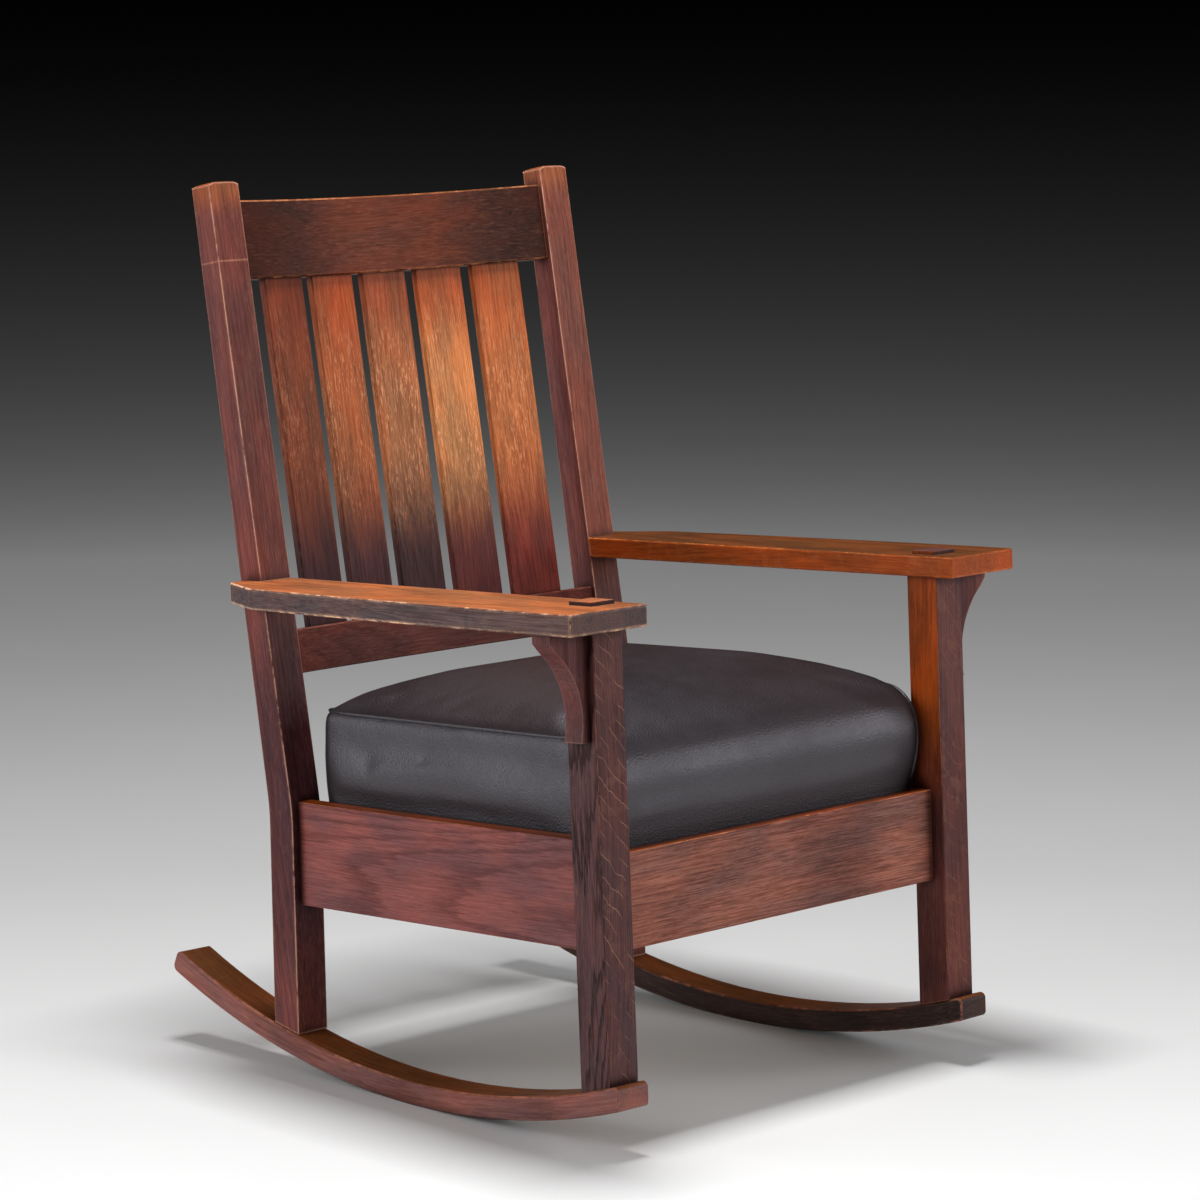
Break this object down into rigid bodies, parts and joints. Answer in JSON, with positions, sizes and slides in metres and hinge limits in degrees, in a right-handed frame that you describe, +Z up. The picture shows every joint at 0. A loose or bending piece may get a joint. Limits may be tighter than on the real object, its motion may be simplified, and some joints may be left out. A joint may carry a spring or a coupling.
{
  "type": "rocking chair",
  "caption": "Square oak rocking chair with flat arms on corbels, curved slatted back, bent rockers and a lift-out sprung leather seat.",
  "frame": {"origin": "on the floor under the middle of the chair's bounding box, where it stands at its balance", "axes": "+X to the side, across the rockers; +Y to the back; +Z up"},
  "size_m": [0.6922, 0.7246, 0.9717],
  "materials": {
    "oak": "satin",
    "hidden_oak": "matte",
    "seat_frame_wood": "matte",
    "leather": "satin",
    "webbing": "matte",
    "steel": "satin"
  },
  "bodies": {
    "chair": {"arm_left": "oak", "arm_right": "oak", "back_slat_1": "oak", "back_slat_2": "oak", "back_slat_3": "oak", "back_slat_4": "oak", "back_slat_5": "oak", "cleat_screws": "steel", "corbel_dowels": "oak", "corbel_left": "oak", "corbel_right": "oak", "crest_rail": "oak", "front_cleat": "hidden_oak", "front_corner_block_left": "hidden_oak", "front_corner_block_right": "hidden_oak", "front_leg_left": "oak", "front_leg_right": "oak", "front_seat_rail": "oak", "lower_back_rail": "oak", "rear_cleat": "hidden_oak", "rear_corner_block_left": "hidden_oak", "rear_corner_block_right": "hidden_oak", "rear_post_left": "oak", "rear_post_right": "oak", "rear_seat_rail": "oak", "rocker_left": "oak", "rocker_right": "oak", "rocker_screws": "steel", "side_cleat_left": "hidden_oak", "side_cleat_right": "hidden_oak", "side_seat_rail_left": "oak", "side_seat_rail_right": "oak"},
    "seat": {"seat_cushion": "leather", "seat_frame_front": "seat_frame_wood", "seat_frame_rear": "seat_frame_wood", "seat_frame_side_left": "seat_frame_wood", "seat_frame_side_right": "seat_frame_wood", "webbing_front_to_back": "webbing", "webbing_side_to_side": "webbing"}
  },
  "joints": [
    {"name": "seat_lift", "type": "slide", "parent": "chair", "child": "seat", "axis": [0, 0.0491, 0.9988], "range_m": [0, 0.06]}
  ]
}
